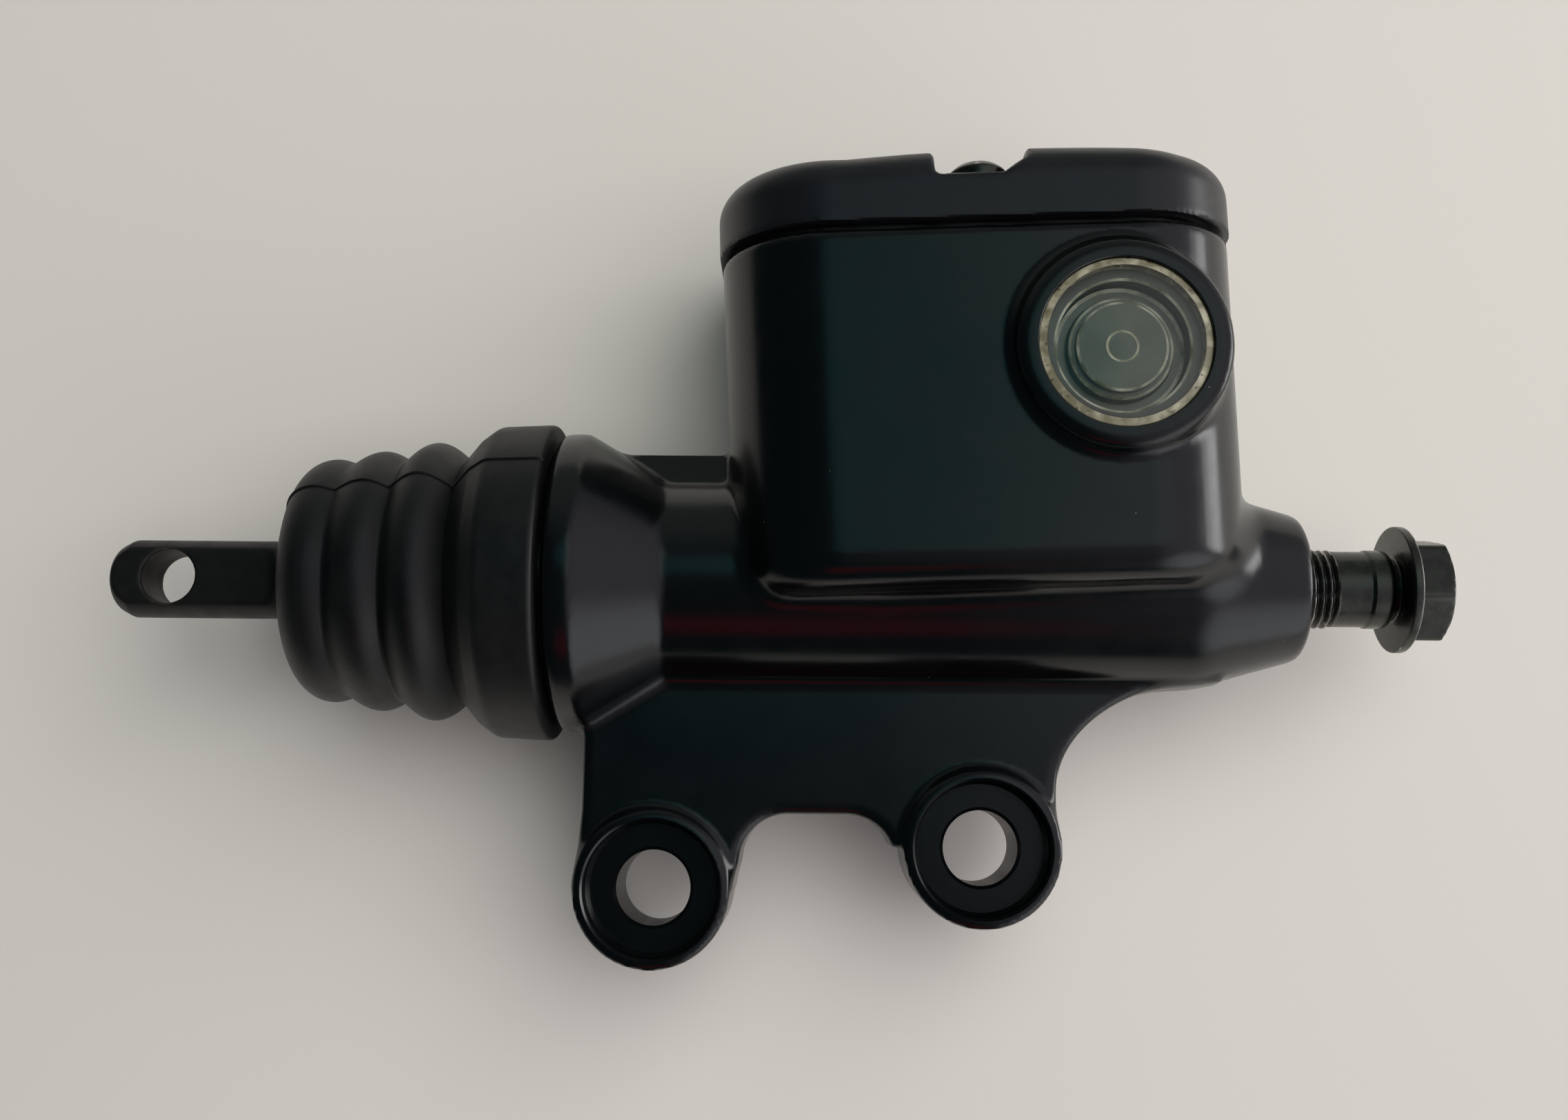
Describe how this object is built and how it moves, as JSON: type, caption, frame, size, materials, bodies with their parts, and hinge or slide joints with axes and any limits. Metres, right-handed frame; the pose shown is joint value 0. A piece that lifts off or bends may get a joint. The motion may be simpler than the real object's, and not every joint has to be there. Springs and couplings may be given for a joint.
{
  "type": "brake master cylinder",
  "caption": "Black cast rear brake master cylinder with a reservoir, round sight glass, ribbed rubber boot, flat-ended push rod, drilled mounting ears and an outlet bolt.",
  "frame": {"origin": "middle of the underside of the whole part as it lies on its back", "axes": "+X along the bore from the push rod to the outlet bolt, +Y towards the reservoir cover, +Z out of the sight glass"},
  "size_m": [0.1688, 0.0992, 0.0426],
  "materials": {
    "cast_housing": "die casting, satin black coat",
    "cover": "die casting, satin black coat",
    "seal_rubber": "moulded",
    "boot_rubber": "moulded, matte",
    "black_steel": "black oxide",
    "phosphated_steel": "black phosphate",
    "plain_steel": "bright steel",
    "bare_aluminium": "turned",
    "lens": "clear moulded plastic"
  },
  "bodies": {
    "housing": {"housing": "cast_housing", "reservoir_cover": "cover", "reservoir_gasket": "seal_rubber", "cover_screw_front": "black_steel", "cover_screw_rear": "black_steel", "sight_glass": "lens", "sight_glass_oring": "seal_rubber", "stop_washer": "plain_steel", "snap_ring": "plain_steel", "boot": "boot_rubber", "return_spring": "plain_steel"},
    "piston": {"piston": "bare_aluminium", "primary_cup": "seal_rubber", "secondary_cup": "seal_rubber", "spring_seat": "plain_steel"},
    "push_rod": {"push_rod": "phosphated_steel"},
    "banjo_bolt": {"banjo_bolt": "black_steel"}
  },
  "joints": [
    {"name": "piston_stroke", "type": "slide", "parent": "housing", "child": "piston", "axis": [1, 0, 0], "range_m": [0, 0.012], "stiffness_N_per_m": 1000, "springref_m": -0.02, "deforming": ["return_spring", "boot"]},
    {"name": "push_rod_swivel", "type": "hinge", "parent": "piston", "child": "push_rod", "pos_m": [-0.01825, -0.00201, 0.0211], "axis": [0, 0, 1], "range_deg": [-3, 3], "stiffness_Nm_per_rad": 0.05, "deforming": ["boot"]},
    {"name": "banjo_bolt_turn", "type": "hinge", "parent": "housing", "child": "banjo_bolt", "pos_m": [0.06725, -0.00201, 0.0211], "axis": [1, 0, 0], "continuous": true}
  ]
}
